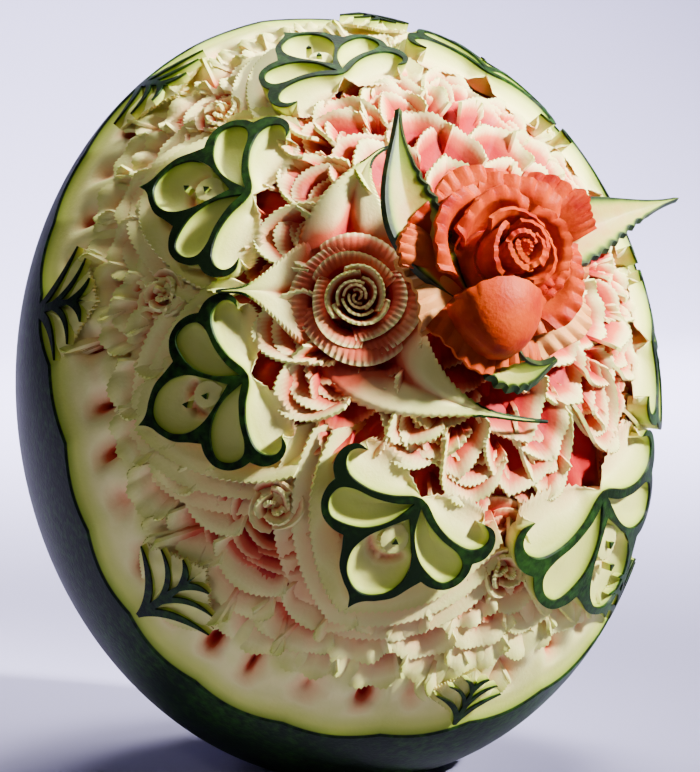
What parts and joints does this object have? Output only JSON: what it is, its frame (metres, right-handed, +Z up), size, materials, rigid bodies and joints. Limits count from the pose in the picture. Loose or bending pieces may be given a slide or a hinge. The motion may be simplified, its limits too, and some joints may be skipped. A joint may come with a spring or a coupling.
{
  "type": "carved watermelon",
  "caption": "Whole oval watermelon carved in relief on its front with lotus medallions, serrated petals and a pale rose, and set with a rose of red flesh.",
  "frame": {"origin": "centre of the flat cut that the melon stands on", "axes": "+Z up, -Y towards the carved face, +X to the right when facing the carving"},
  "size_m": [0.2564, 0.2703, 0.3],
  "materials": {
    "melon": "moist cut flesh and rind, soft sheen",
    "red_flesh": "moist cut flesh, soft sheen"
  },
  "bodies": {
    "root": {"melon": "melon", "red_rose": "red_flesh"}
  },
  "joints": []
}
